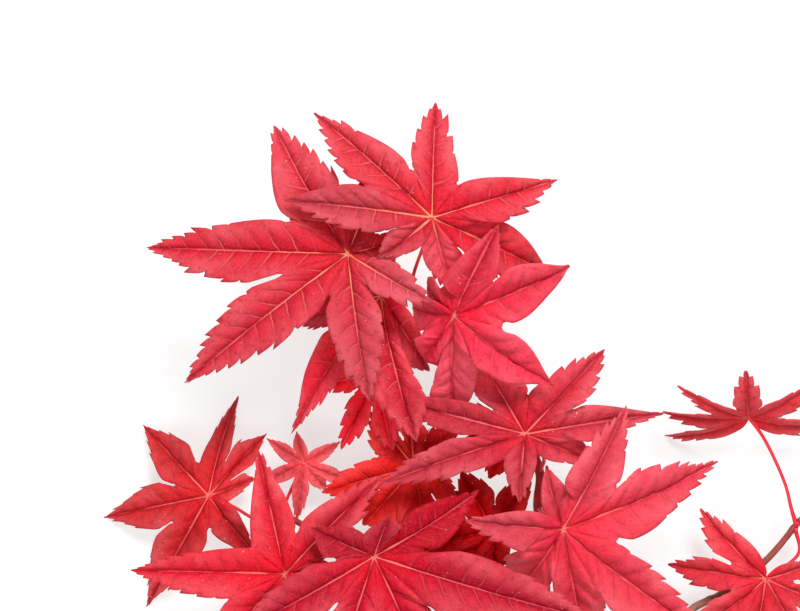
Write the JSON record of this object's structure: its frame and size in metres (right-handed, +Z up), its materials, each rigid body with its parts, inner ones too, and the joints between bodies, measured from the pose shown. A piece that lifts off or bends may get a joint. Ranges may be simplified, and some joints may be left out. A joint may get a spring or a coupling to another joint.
{
  "type": "japanese maple branch",
  "caption": "Leafy end of a red japanese maple branch, cut flat, with toothed palmate leaves held out on slim stalks; it lies on its lower leaves",
  "frame": {"origin": "centre of the stem's flat cut face", "axes": "+Y from the cut into the branch, square to the cut face; +Z up, with the branch lying on its lower leaves; +X to the right"},
  "size_m": [0.2522, 0.2122, 0.0895],
  "materials": {
    "leaf_red": "satin",
    "leaf_deep": "satin",
    "leaf_orange": "satin",
    "bark": "matte",
    "young_bark": "matte"
  },
  "bodies": {
    "root": {"main_stem": "bark", "left_shoot": "young_bark", "low_shoot": "bark", "right_shoot": "bark", "leaf_top": "leaf_red", "leaf_left": "leaf_red", "leaf_hanging": "leaf_red", "leaf_centre": "leaf_red", "leaf_inner_bright": "leaf_orange", "leaf_right": "leaf_red", "leaf_inner_small": "leaf_deep", "leaf_inner_mid": "leaf_orange", "leaf_low_right": "leaf_red", "leaf_inner_dark": "leaf_deep", "leaf_front": "leaf_red", "leaf_low_left": "leaf_red", "leaf_back_left": "leaf_red", "leaf_back_small": "leaf_orange", "leaf_far_right": "leaf_red", "leaf_far_low": "leaf_red"}
  },
  "joints": []
}
